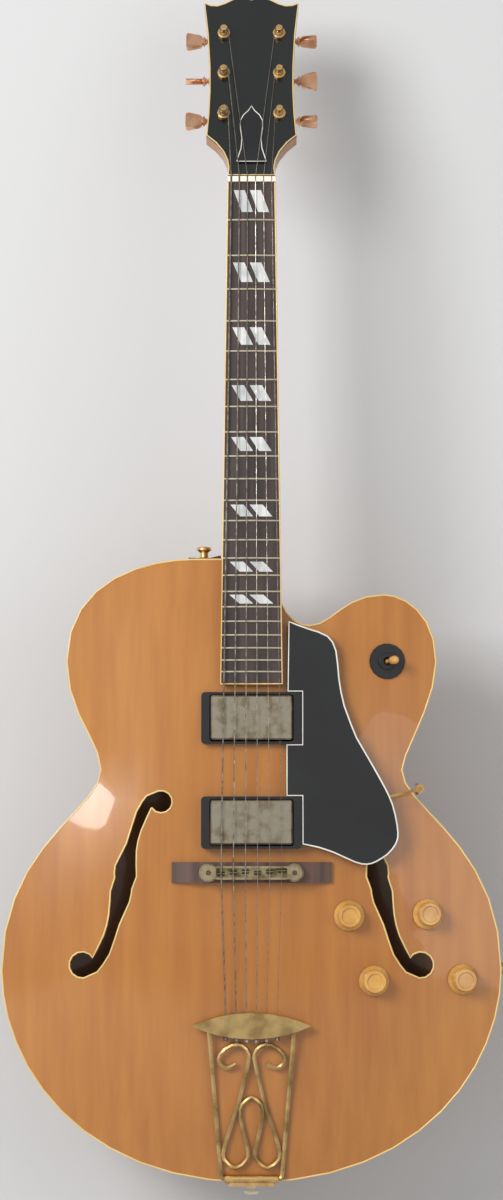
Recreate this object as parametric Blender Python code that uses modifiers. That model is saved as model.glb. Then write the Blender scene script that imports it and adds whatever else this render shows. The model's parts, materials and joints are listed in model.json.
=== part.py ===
"""A thinline hollow electric guitar with one round cutaway, as its separate pieces.

The body lies in the XZ plane with the neck pointing to +Z and the strings in front, at -Y. While it is
modelled, z is 0 at the bottom of the body and y is 0 half way through its depth. The last step moves the
whole guitar so that its origin is where a hanger's fork holds it, between nut and headstock.
"""

import math

import bmesh
import bpy
import numpy as np
from mathutils import Matrix, Vector
from mathutils.geometry import delaunay_2d_cdt

MM = 0.001
GAP = 0.3 * MM  # between pieces that touch on the real guitar
TURN = 2 * math.pi

# Body, seen from the front
BODY_LENGTH = 537.5 * MM
LOWER_BOUT = 431.8 * MM
WAIST = 261.4 * MM
UPPER_BOUT = 321.0 * MM
LOWER_BOUT_Z = 182.0 * MM
WAIST_Z = 354.5 * MM
UPPER_BOUT_Z = 448.0 * MM
SHOULDER_FLAT = 50.0 * MM  # half width of the straight top edge
CUTAWAY_X = 24.5 * MM  # the side of the cutaway beside the neck
CUTAWAY_TOP_Z = 509.6 * MM
CUTAWAY_FLOOR = (50.2 * MM, 479.7 * MM)
HORN_TIP = (115.0 * MM, 506.7 * MM)

# Body, through its depth
BODY_DEPTH = 57.0 * MM  # at the edge, with both plates
TOP_ARCH = 15.0 * MM
BACK_ARCH = 13.0 * MM
PLATE = 4.5 * MM  # thickness of the carved plates
RIM_WALL = 3.0 * MM
LINING = 5.5 * MM  # how far the linings stand in from the rim
LINING_HEIGHT = 9.0 * MM
BLOCK_HALF = 30.0 * MM
NECK_BLOCK = 47.0 * MM
TAIL_BLOCK = 26.0 * MM

# Neck and strings
SCALE_LENGTH = 597.0 * MM
NUT_Z = 867.5 * MM
NECK_ANGLE = math.radians(3.5)
HEAD_ANGLE = math.radians(17.0)
BOARD_FRONT_AT_NUT = 22.6 * MM  # in front of the body's middle plane
BOARD_LENGTH = 440.0 * MM
BOARD_THICKNESS = 6.0 * MM
BOARD_AT_NUT = 41.7 * MM
BOARD_AT_END = 53.7 * MM
BOARD_RADIUS = 305.0 * MM
FRETS = 22
FRET_HEIGHT = 1.1 * MM
FRET_WIDTH = 2.4 * MM
NUT_LENGTH = 5.0 * MM
NECK_DEPTH_AT_NUT = 14.5 * MM  # below the board
NECK_DEPTH_AT_HEEL = 17.0 * MM
HEEL_BACK = 25.0 * MM  # where the heel ends, behind the body's middle plane
TENON = (10.0 * MM, 18.0 * MM, 24.0 * MM)  # half width, half depth, length
ROD_RADIUS = 2.5 * MM
ROD_DEPTH = 5.0 * MM  # of the rod's axis below the board
STRINGS = 6
STRING_RADII = [r * MM for r in (0.62, 0.50, 0.38, 0.26, 0.20, 0.16)]
STRINGS_AT_NUT = 35.2 * MM
STRINGS_AT_BRIDGE = 52.0 * MM
STRINGS_AT_TAIL = 44.4 * MM
STRING_ABOVE_NUT_END = 1.7 * MM
STRING_ABOVE_BRIDGE_END = 4.5 * MM
COMPENSATION = [c * MM for c in (6.0, 5.2, 4.4, 5.4, 4.4, 3.4)]

# Headstock
HEAD_THICKNESS = 13.5 * MM
VENEER = 2.0 * MM
HEAD_DROP = 1.5 * MM  # the veneer's face below the board's face
TUNER_X = 24.6 * MM
TUNER_S = [s * MM for s in (62.5, 104.0, 145.5)]
TUNER_TUBE = 4.8 * MM
POST_RADIUS = 3.0 * MM
POST_HEIGHT = 11.0 * MM
CASING_RADIUS = 8.0 * MM
CASING_DEPTH = 11.0 * MM
WORM_OFFSET = 5.0 * MM
BUTTON_IN = 40.0 * MM  # from the middle of the headstock to the button's collar
BUTTON_OUT = 58.6 * MM
BUTTON_TURNS = [math.radians(a) for a in (0, 55, 0, 90, 10, 90)]  # bass side upwards, then treble side

# Bridge, pickups and tailpiece
POST_SPACING = 73.8 * MM
BRIDGE_Z = 266.5 * MM
BRIDGE_BASE = (137.0 * MM, 17.5 * MM)
BASE_TOP = 51.2 * MM  # in front of the body's middle plane
STUD_RADIUS = 1.9 * MM
WHEEL_RADIUS = 8.3 * MM
WHEEL_THICKNESS = 2.6 * MM
BRIDGE_TOP = 61.2 * MM
BRIDGE_WIDTH = 11.6 * MM
BRIDGE_END_RADIUS = 6.6 * MM
TROUGH = (61.0 * MM, 7.8 * MM, 4.4 * MM)
SADDLE = (6.4 * MM, 3.4 * MM)
SADDLE_SCREW = 0.9 * MM
RING_SIZE = (86.5 * MM, 44.7 * MM)
COVER_SIZE = (69.9 * MM, 38.1 * MM)
PICKUP_DEPTH = 17.0 * MM
PICKUPS = {"neck": (399.0 * MM, 10.0 * MM, 3.2 * MM), "bridge": (309.3 * MM, -10.0 * MM, 3.0 * MM)}
POLE_RADIUS = 2.3 * MM
POLE_SPAN = 49.2 * MM
TAILPIECE_Z = 135.7 * MM
CROSSBAR = (102.0 * MM, 22.6 * MM, 4.6 * MM)
CROSSBAR_FRONT = 53.5 * MM
WIRE_RADIUS = 2.0 * MM
ROD_TOP_X = 36.5 * MM
ROD_FOOT_X = 26.4 * MM
HINGE_Z = 4.2 * MM
HINGE_RADIUS = 3.5 * MM
HINGE_HALF = 23.0 * MM
HINGE_CLEAR = 1.0 * MM  # between the knuckle and the top

# Fittings
KNOB_RADIUS = 13.2 * MM
KNOB_HEIGHT = 14.5 * MM
KNOBS = [(83.7 * MM, 229.4 * MM), (151.3 * MM, 230.4 * MM), (105.0 * MM, 173.7 * MM), (181.4 * MM, 174.6 * MM)]
SHAFT_RADIUS = 3.0 * MM
POT_RADIUS = 11.5 * MM
POT_DEPTH = 9.0 * MM
SWITCH_PLACE = (117.3 * MM, 448.2 * MM)
SWITCH_WASHER = 15.5 * MM
SWITCH_THROW = math.radians(17.0)
GUARD_THICKNESS = 2.6 * MM
GUARD_BELOW_STRINGS = 8.6 * MM
GUARD_CLEARANCE = GAP
BRACKET_RADIUS = 1.6 * MM
END_PIN_RADIUS = 6.5 * MM
END_PIN_LENGTH = 12.6 * MM
STRAP_BUTTON_X = -41.5 * MM
JACK_RADIUS = 7.6 * MM
JACK_BORE = 3.3 * MM

HALF_DEPTH = BODY_DEPTH / 2
RIM_HALF = HALF_DEPTH - PLATE - GAP
HINGE_Y = -HALF_DEPTH - HINGE_CLEAR - HINGE_RADIUS


def clear_scene():
    for thing in list(bpy.data.objects):
        bpy.data.objects.remove(thing)


def new_collection(name):
    made = bpy.data.collections.new(name)
    bpy.context.scene.collection.children.link(made)
    return made


def material(name, colour, roughness, metallic=0.0):
    made = bpy.data.materials.new(name)
    made.use_nodes = True
    shader = made.node_tree.nodes["Principled BSDF"]
    shader.inputs["Base Color"].default_value = (*colour, 1)
    shader.inputs["Roughness"].default_value = roughness
    shader.inputs["Metallic"].default_value = metallic
    made.diffuse_color = (*colour, 1)
    return made


clear_scene()
GUITAR = new_collection("guitar")
CUTTERS = new_collection("cutters")
AMBER_MAPLE = material("amber_maple", (0.55, 0.27, 0.07), 0.25)
NECK_MAPLE = material("neck_maple", (0.42, 0.19, 0.06), 0.3)
ROSEWOOD = material("rosewood", (0.06, 0.035, 0.03), 0.5)
BLACK_GLOSS = material("black_gloss", (0.015, 0.016, 0.018), 0.2)
BLACK_PLASTIC = material("black_plastic", (0.03, 0.03, 0.035), 0.35)
BONE = material("bone", (0.85, 0.8, 0.68), 0.4)
GOLD = material("gold", (0.75, 0.45, 0.16), 0.28, 1.0)
OLD_GOLD = material("old_gold", (0.34, 0.27, 0.14), 0.4, 1.0)
NICKEL = material("aged_nickel", (0.4, 0.36, 0.29), 0.35, 1.0)
STEEL = material("steel", (0.55, 0.53, 0.5), 0.3, 1.0)
AMBER_PLASTIC = material("amber_plastic", (0.6, 0.33, 0.08), 0.2)


def add(name, mesh, finish, matrix=None, cutter=False):
    """Puts a mesh or a curve in the scene, as a piece of the guitar or as a hidden cutter."""
    piece = bpy.data.objects.new(name, mesh)
    (CUTTERS if cutter else GUITAR).objects.link(piece)
    if matrix is not None:
        piece.matrix_world = matrix
    if finish:
        mesh.materials.append(finish)
    if cutter:
        piece.hide_render = True
        piece.display_type = "WIRE"
    return piece


def finished(name, bm, smooth=False):
    """Turns a bmesh into mesh data with its faces pointing out."""
    bmesh.ops.recalc_face_normals(bm, faces=bm.faces)
    mesh = bpy.data.meshes.new(name)
    bm.to_mesh(mesh)
    bm.free()
    if smooth:
        mesh.shade_smooth()
        mesh.set_sharp_from_angle(angle=math.radians(35))
    return mesh


def box_mesh(name, size, centre=(0, 0, 0), bevel=0.0):
    bm = bmesh.new()
    bmesh.ops.create_cube(bm, size=1)
    bmesh.ops.scale(bm, vec=size, verts=bm.verts)
    if bevel:
        bmesh.ops.bevel(bm, geom=bm.edges, offset=bevel, segments=1, affect="EDGES")
    bmesh.ops.translate(bm, vec=centre, verts=bm.verts)
    return finished(name, bm)


def rod_mesh(name, radius, length, sides=12, end_radius=None):
    """A cylinder or cone from z = 0 up to its length."""
    bm = bmesh.new()
    bmesh.ops.create_cone(
        bm,
        cap_ends=True,
        segments=sides,
        radius1=radius,
        radius2=radius if end_radius is None else end_radius,
        depth=length,
    )
    bmesh.ops.translate(bm, vec=(0, 0, length / 2), verts=bm.verts)
    return finished(name, bm, smooth=True)


def joined(name, objects):
    """One mesh from the evaluated shapes of several objects, which are removed."""
    bpy.context.view_layer.update()
    graph = bpy.context.evaluated_depsgraph_get()
    bm = bmesh.new()
    for thing in objects:
        mesh = bpy.data.meshes.new_from_object(thing.evaluated_get(graph))
        mesh.transform(thing.matrix_world)
        bm.from_mesh(mesh)
    bmesh.ops.remove_doubles(bm, verts=bm.verts, dist=MM / 1000)
    for thing in objects:
        bpy.data.objects.remove(thing)
    mesh = bpy.data.meshes.new(name)
    bm.to_mesh(mesh)
    bm.free()
    return mesh


def combine(piece, helper, operation):
    """Adds a Boolean that cuts the helper away, or joins it on. The helper stays as a hidden cutter."""
    step = piece.modifiers.new(helper.name, "BOOLEAN")
    step.operation = operation
    step.solver = "EXACT"
    step.object = helper


def cut(piece, mesh, matrix=None):
    combine(piece, add("cut_" + mesh.name, mesh, None, matrix, cutter=True), "DIFFERENCE")


def join(piece, mesh, matrix=None):
    combine(piece, add("join_" + mesh.name, mesh, None, matrix, cutter=True), "UNION")


def turned(name, profile, finish, matrix, sides=16):
    """A turned piece about its own z axis. The profile runs down the outer side."""
    mesh = bpy.data.meshes.new(name)
    ring = range(len(profile) - 1)
    mesh.from_pydata([(r, 0, z) for r, z in profile], [(i, i + 1) for i in ring], [])
    piece = add(name, mesh, finish, matrix)
    spin = piece.modifiers.new("turn", "SCREW")
    spin.angle = TURN
    spin.steps = spin.render_steps = sides
    spin.use_merge_vertices = True
    spin.merge_threshold = MM / 100
    spin.use_smooth_shade = True
    return piece


def tube(name, points, radius, finish, sides_step=1, radii=None, closed=False):
    """A wire or rod along a run of points."""
    curve = bpy.data.curves.new(name, "CURVE")
    curve.dimensions = "3D"
    spline = curve.splines.new("POLY")
    spline.points.add(len(points) - 1)
    for i, place in enumerate(points):
        spline.points[i].co = (*place, 1)
        spline.points[i].radius = radii[i] if radii else 1
    spline.use_cyclic_u = closed
    curve.bevel_depth = radius
    curve.bevel_resolution = sides_step
    curve.use_fill_caps = True
    return add(name, curve, finish)


def tube_mesh(name, points, radius, sides_step=1, closed=False):
    return joined(name, [tube(name, points, radius, None, sides_step, closed=closed)])


def bezier(start, start_handle, end_handle, end, count):
    """Points along one curve, with the last one left to the curve that follows."""
    t = np.arange(count)[:, None] / count
    p = [np.array(q, float) for q in (start, start_handle, end_handle, end)]
    return list((1 - t) ** 3 * p[0] + 3 * t * (1 - t) ** 2 * p[1] + 3 * t**2 * (1 - t) * p[2] + t**3 * p[3])


def smooth_run(points, per_piece):
    """A smooth curve through a few points, with the last one included."""
    p = np.array([points[0], *points, points[-1]], float)
    run = []
    for i in range(1, len(p) - 2):
        before, here, there, after = p[i - 1 : i + 3]
        run += bezier(here, here + (there - before) / 6, there - (after - here) / 6, there, per_piece)
    return [*run, p[-1]]


def arc(centre, radius, start, end, count):
    angles = np.radians(np.linspace(start, end, count))
    return [(centre[0] + radius * math.cos(a), centre[1] + radius * math.sin(a)) for a in angles]


def rounded_box(width, height, centre, radius, per_corner=3):
    x, z = width / 2 - radius, height / 2 - radius
    run = []
    for i, (sx, sz) in enumerate(((1, 1), (-1, 1), (-1, -1), (1, -1))):
        corner = (centre[0] + sx * x, centre[1] + sz * z)
        run += arc(corner, radius, 90 * i, 90 * i + 90, per_corner)
    return run


def mirrored(half):
    """A closed outline from its half at +X, which starts and ends on the middle line."""
    return [*half, *[(-x, z) for x, z in reversed(half[1:-1])]]


def is_inside(points, loop):
    """Which points lie inside a closed outline."""
    x, z = np.asarray(points, float).T
    found = np.zeros(len(x), bool)
    ends = np.asarray(loop, float)
    for (ax, az), (bx, bz) in zip(ends, np.roll(ends, -1, axis=0)):
        if az != bz:
            crosses = ((az > z) != (bz > z)) & (x < (bx - ax) * (z - az) / (bz - az) + ax)
            found ^= crosses
    return found


def inward(loop):
    """For each point of an outline, the step inwards that offsets both its edges by one."""
    p = np.asarray(loop, float)
    edge = np.roll(p, -1, axis=0) - p
    turn = np.sign((p[:, 0] * np.roll(p[:, 1], -1) - np.roll(p[:, 0], -1) * p[:, 1]).sum())
    normal = turn * np.stack([-edge[:, 1], edge[:, 0]], axis=1) / np.linalg.norm(edge, axis=1)[:, None]
    before = np.roll(normal, 1, axis=0)
    return (normal + before) / (1 + (normal * before).sum(axis=1))[:, None]


def slab_mesh(name, outline, holes, front, back, spacing=None, smooth=False):
    """A plate seen from the front: outline and holes in x and z, each face at a y that may vary."""
    loops = [outline, *holes]
    flat = [Vector((float(x), float(z))) for loop in loops for x, z in loop]
    edges, start = [], 0
    for loop in loops:
        edges += [(start + i, start + (i + 1) % len(loop)) for i in range(len(loop))]
        start += len(loop)
    if spacing:
        flat += inner_points(loops, spacing)
    found, _, faces, *_ = delaunay_2d_cdt(flat, edges, [], 1, MM / 1000)
    points = np.array([tuple(v) for v in found])
    middles = np.array([points[list(face)].mean(axis=0) for face in faces])
    kept = is_inside(middles, outline)
    for hole in holes:
        kept &= ~is_inside(middles, hole)
    bm = bmesh.new()
    near = [bm.verts.new((x, front(x, z), z)) for x, z in points]
    far = [bm.verts.new((x, back(x, z), z)) for x, z in points]
    for face in (face for face, keep in zip(faces, kept) if keep):
        bm.faces.new([near[i] for i in face])
        bm.faces.new([far[i] for i in reversed(face)])
    across = dict(zip(near, far))
    for edge in [e for e in bm.edges if len(e.link_faces) == 1 and e.verts[0] in across]:
        a, b = edge.verts
        bm.faces.new([a, b, across[b], across[a]])
    bmesh.ops.delete(bm, geom=[v for v in bm.verts if not v.link_faces], context="VERTS")
    return finished(name, bm, smooth)


def inner_points(loops, spacing):
    """A staggered grid of points inside the first outline and clear of every edge."""
    ends = np.asarray(loops[0], float)
    low, high = ends.min(axis=0), ends.max(axis=0)
    rows = np.arange(low[1] + spacing / 2, high[1], spacing * math.sqrt(0.75))
    grid = []
    for i, z in enumerate(rows):
        grid += [(x, z) for x in np.arange(low[0] + spacing * (i % 2) / 2, high[0], spacing)]
    grid = np.array(grid)
    kept = is_inside(grid, loops[0])
    for hole in loops[1:]:
        kept &= ~is_inside(grid, hole)
    for loop in loops:
        a = np.asarray(loop, float)
        along = np.roll(a, -1, axis=0) - a
        for p, d in zip(a, along):
            t = np.clip(((grid - p) @ d) / (d @ d), 0, 1)
            kept &= np.linalg.norm(grid - p - t[:, None] * d, axis=1) > 0.45 * spacing
    return [Vector(p) for p in grid[kept]]


def loft_mesh(name, sections, smooth=True, closed=False):
    """A solid through rings of equally many points, with flat ends unless the run closes on itself."""
    bm = bmesh.new()
    rings = [[bm.verts.new(p) for p in ring] for ring in sections]
    pairs = list(zip(rings, rings[1:])) + ([(rings[-1], rings[0])] if closed else [])
    for one, two in pairs:
        for i in range(len(one)):
            j = (i + 1) % len(one)
            bm.faces.new([one[i], one[j], two[j], two[i]])
    if not closed:
        bm.faces.new(rings[0])
        bm.faces.new(rings[-1])
    return finished(name, bm, smooth)


def body_outline():
    """The edge of the body, from the middle of its bottom round by the treble side."""
    low, waist, high = LOWER_BOUT / 2, WAIST / 2, UPPER_BOUT / 2
    top, step = BODY_LENGTH, MM
    horn_x, horn_z = HORN_TIP
    floor_x, floor_z = CUTAWAY_FLOOR
    z1, z2, z3 = LOWER_BOUT_Z, WAIST_Z, UPPER_BOUT_Z
    run = bezier((0, 0), (149 * step, 0), (low, z1 - 81 * step), (low, z1), 12)
    run += bezier((low, z1), (low, z1 + 110 * step), (waist, z2 - 33 * step), (waist, z2), 9)
    run += bezier((waist, z2), (waist, z2 + 14 * step), (high, z3 - 36 * step), (high, z3), 5)
    run += bezier((high, z3), (high, z3 + 44 * step), (horn_x + 16 * step, horn_z), (horn_x, horn_z), 6)
    run += bezier(
        (horn_x, horn_z), (horn_x - 36 * step, horn_z), (floor_x + 19 * step, floor_z), (floor_x, floor_z), 6
    )
    side = (CUTAWAY_X, CUTAWAY_TOP_Z)
    run += bezier((floor_x, floor_z), (floor_x - 12 * step, floor_z), (CUTAWAY_X, side[1] - 18 * step), side, 5)
    run += [side, (CUTAWAY_X, top), (0, top)]
    run += bezier((-SHOULDER_FLAT, top), (-SHOULDER_FLAT - 36 * step, top), (-high, z3 + 75 * step), (-high, z3), 8)
    run += bezier((-high, z3), (-high, z3 - 45 * step), (-waist, z2 + 24 * step), (-waist, z2), 5)
    run += bezier((-waist, z2), (-waist, z2 - 34 * step), (-low, z1 + 108 * step), (-low, z1), 9)
    run += bezier((-low, z1), (-low, z1 - 81 * step), (-149 * step, 0), (0, 0), 12)
    return [tuple(p) for p in run]


OUTLINE = body_outline()


def blown_film(outline, step=4 * MM):
    """The height of a film blown up from the outline, 0 at the edge and 1 at its highest."""
    ends = np.asarray(outline)
    low, high = ends.min(axis=0) - 2 * step, ends.max(axis=0) + 2 * step
    xs, zs = (np.arange(a, b, step) for a, b in zip(low, high))
    grid = np.stack(np.meshgrid(xs, zs, indexing="ij"), axis=-1)
    free = is_inside(grid.reshape(-1, 2), outline).reshape(grid.shape[:2])
    film = np.zeros(free.shape)
    for _ in range(6000):
        around = np.roll(film, 1, 0) + np.roll(film, -1, 0) + np.roll(film, 1, 1) + np.roll(film, -1, 1)
        film = np.where(free, (around + 1) / 4, 0)
    film /= film.max()

    def height(x, z):
        i, j = (x - low[0]) / step, (z - low[1]) / step
        a = min(max(int(i), 0), len(xs) - 2)
        b = min(max(int(j), 0), len(zs) - 2)
        u, v = i - a, j - b
        near = film[a, b] * (1 - v) + film[a, b + 1] * v
        return max(0.0, near * (1 - u) + (film[a + 1, b] * (1 - v) + film[a + 1, b + 1] * v) * u)

    return height


FILM = blown_film(OUTLINE)


def arch(x, z):
    """How high the carved arch stands above its edge, from 0 to 1, with a hollow near the edge."""
    v = FILM(x, z) ** 0.75
    return v * v * (3 - 2 * v)


def top_front(x, z):
    return -HALF_DEPTH - TOP_ARCH * arch(x, z)


def seat(x, z, radius):
    """The frame of a round piece that stands on the arched top, its z axis out of the wood."""
    e = 2 * MM
    slope_x = (top_front(x - e, z) - top_front(x + e, z)) / (2 * e)
    slope_z = (top_front(x, z - e) - top_front(x, z + e)) / (2 * e)
    out = Vector((-slope_x, -1, -slope_z)).normalized()
    place = Vector((x, top_front(x, z), z))
    across = (Vector((1, 0, 0)) - out * out.x).normalized()
    up = out.cross(across)
    lift = 0.0
    for k in range(12):
        side = radius * (math.cos(TURN * k / 12) * across + math.sin(TURN * k / 12) * up)
        q = place + side
        lift = max(lift, (Vector((q.x, top_front(q.x, q.z), q.z)) - q).dot(out))
    frame = Matrix((across, up, out)).transposed().to_4x4()
    frame.translation = place + out * (lift + GAP)
    return frame


def f_hole(side):
    """An f-shaped sound hole: two round lobes and a stem with a nick on each side. Side is 1 or -1."""
    upper, lower = (77.7 * MM, 327.0 * MM), (145.4 * MM, 187.0 * MM)
    outer = [(90, 331.5), (98.5, 318), (107, 291), (116.5, 272), (116.8, 262)]
    outer_low = [(120.6, 250), (122, 230), (126.5, 212), (136.4, 192.4)]
    inner = [(133, 181.5), (122.5, 196.5), (114, 222), (105.5, 241), (103.5, 252)]
    inner_low = [(99.4, 263), (99.6, 285), (95.5, 302.5), (86.6, 322.2)]
    run = [(x, z) for x, z in arc(upper, 8.9 * MM, -32, -284, 10)]
    for group in (outer, outer_low):
        run += [(x * MM, z * MM) for x, z in smooth_run(group, 2)]
    run += arc(lower, 10.6 * MM, 152, -95, 10)[1:]
    for group in (inner, inner_low):
        run += [(x * MM, z * MM) for x, z in smooth_run(group, 2)]
    return [(side * x, z) for x, z in run]


def neck_frame():
    return Matrix.Translation((0, -BOARD_FRONT_AT_NUT, NUT_Z)) @ Matrix.Rotation(-NECK_ANGLE, 4, "X")


NECK = neck_frame()
HEAD_START = NUT_LENGTH + GAP + (BOARD_THICKNESS - HEAD_DROP) * math.tan(HEAD_ANGLE)
HEAD = NECK @ Matrix.Translation((0, HEAD_DROP, HEAD_START)) @ Matrix.Rotation(-HEAD_ANGLE, 4, "X")
HANGER = HEAD @ Vector((0, VENEER + HEAD_THICKNESS / 2, 20 * MM))


def fret_place(n):
    return -SCALE_LENGTH * (1 - 2 ** (-n / 12))


def board_half(z):
    """Half the width of the fingerboard at a distance z down from the nut (z is negative)."""
    return (BOARD_AT_NUT + (BOARD_AT_END - BOARD_AT_NUT) * -z / BOARD_LENGTH) / 2


def crown(x):
    return x * x / (2 * BOARD_RADIUS)


def board_bottom(z):
    """The y of the board's underside over the body, at a height z."""
    low = NECK @ Vector((0, BOARD_THICKNESS, 0))
    return low.y + (z - low.z) * math.tan(NECK_ANGLE)


def flat(y):
    return lambda x, z: y


def top_back(x, z):
    return top_front(x, z) + PLATE


def pickup_hole(name):
    z = PICKUPS[name][0]
    return rounded_box(COVER_SIZE[0] + 3 * MM, COVER_SIZE[1] + 3 * MM, (0, z), 2 * MM, 2)


def make_top():
    holes = [f_hole(1), f_hole(-1), pickup_hole("neck"), pickup_hole("bridge")]
    mesh = slab_mesh("top_plate", OUTLINE, holes, top_front, top_back, 26 * MM, smooth=True)
    top = add("top_plate", mesh, AMBER_MAPLE)
    for i, place in enumerate(KNOBS):
        frame = seat(*place, KNOB_RADIUS)
        under = frame @ Matrix.Translation((0, 0, -PLATE - POT_DEPTH))
        join(top, rod_mesh(f"pot_{i + 1}", POT_RADIUS, POT_DEPTH + PLATE / 2), under)
        bore = frame @ Matrix.Translation((0, 0, -PLATE - POT_DEPTH + 2 * MM))
        cut(top, rod_mesh(f"pot_bore_{i + 1}", SHAFT_RADIUS + GAP, POT_DEPTH + 2 * PLATE), bore)
    through = seat(*SWITCH_PLACE, SWITCH_WASHER) @ Matrix.Translation((0, 0, -3 * PLATE))
    cut(top, rod_mesh("switch_bore", 6 * MM + GAP, 6 * PLATE), through)


def make_back():
    def outside(x, z):
        return HALF_DEPTH + BACK_ARCH * arch(x, z)

    def inside(x, z):
        return outside(x, z) - PLATE

    mesh = slab_mesh("back_plate", OUTLINE, [], inside, outside, 30 * MM, smooth=True)
    add("back_plate", mesh, AMBER_MAPLE)


def make_rim():
    """The bent sides with a lining along each edge, and the neck and tail blocks glued between them."""
    into, half = inward(OUTLINE), RIM_HALF
    lined, low = RIM_WALL + LINING, half - LINING_HEIGHT
    section = [(0, -half), (lined, -half), (lined, -low), (RIM_WALL, -low + LINING)]
    section += [(RIM_WALL, low - LINING), (lined, low), (lined, half), (0, half)]
    rings = [[(x + d * nx, y, z + d * nz) for d, y in section] for (x, z), (nx, nz) in zip(OUTLINE, into)]
    rim = add("rim", loft_mesh("rim", rings, closed=True), AMBER_MAPLE)
    sides = (-BLOCK_HALF - 2 * MM, CUTAWAY_X - 1.5 * MM)
    length = NECK_BLOCK
    block = box_mesh(
        "neck_block",
        (sides[1] - sides[0], 2 * half, length),
        (sum(sides) / 2, 0, BODY_LENGTH - 1.5 * MM - length / 2),
    )
    join(rim, block)
    tail = box_mesh("tail_block", (2 * BLOCK_HALF, 2 * half, TAIL_BLOCK), (0, 0, 1.5 * MM + TAIL_BLOCK / 2))
    join(rim, tail)
    wide, deep, long = TENON
    room = 2 * (wide + GAP), 2 * (deep + GAP), 2 * (long + GAP)
    cut(rim, box_mesh("mortise", room, (0, 0, BODY_LENGTH)))
    cut(rim, rod_mesh("pin_hole", POST_RADIUS + GAP, 22 * MM), Matrix.Translation((0, 0, -MM)))
    cut(rim, rod_mesh("strap_hole", 2 * MM + GAP, 16 * MM), Matrix.Translation((STRAP_BUTTON_X, 0, 525 * MM)))
    cut(rim, rod_mesh("jack_hole", 5 * MM + GAP, 24 * MM), jack_frame() @ Matrix.Translation((0, 0, -14 * MM)))


def jack_frame():
    """On the rim at the widest part of the treble side, z out of the wood."""
    turn = Matrix.Rotation(math.pi / 2, 4, "Y")
    return Matrix.Translation((LOWER_BOUT / 2 + GAP, 4 * MM, LOWER_BOUT_Z)) @ turn


def neck_section(z, half, depth, fullness=0.72, count=9):
    """A D-shaped ring in the neck's frame, flat in front, at the height z."""
    front = BOARD_THICKNESS + GAP
    ring = []
    for k in range(count):
        a = math.pi * k / (count - 1)
        x = half * math.copysign(abs(math.cos(a)) ** fullness, math.cos(a))
        ring.append((x if 0 < k < count - 1 else half * math.cos(a), front + depth * math.sin(a) ** fullness, z))
    return ring


def head_outline():
    """The headstock in its own frame: narrow at the nut, two corners, a waist and a scooped crest."""
    half = [(0, 0), (20.5, 0), (20.2, 8), (21.3, 15), (25, 24), (31.6, 33)]
    half += [(39.8, 40.4), (38.2, 62), (37.3, 85), (37.4, 110), (39.2, 145), (42.1, 177.6)]
    crest = [(42.1, 177.6), (36.5, 175.6), (30.5, 175.2), (24, 177.6), (17, 181.6), (10.5, 183.8), (4.5, 183.4)]
    half += crest[1:] + [(0, 181.6)]
    return mirrored([(x * MM, z * MM) for x, z in half])


def tuner_places():
    """Each tuner's side (-1 bass, 1 treble) and its distance along the headstock, in string order."""
    return [(-1, s) for s in TUNER_S] + [(1, s) for s in reversed(TUNER_S)]


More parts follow.
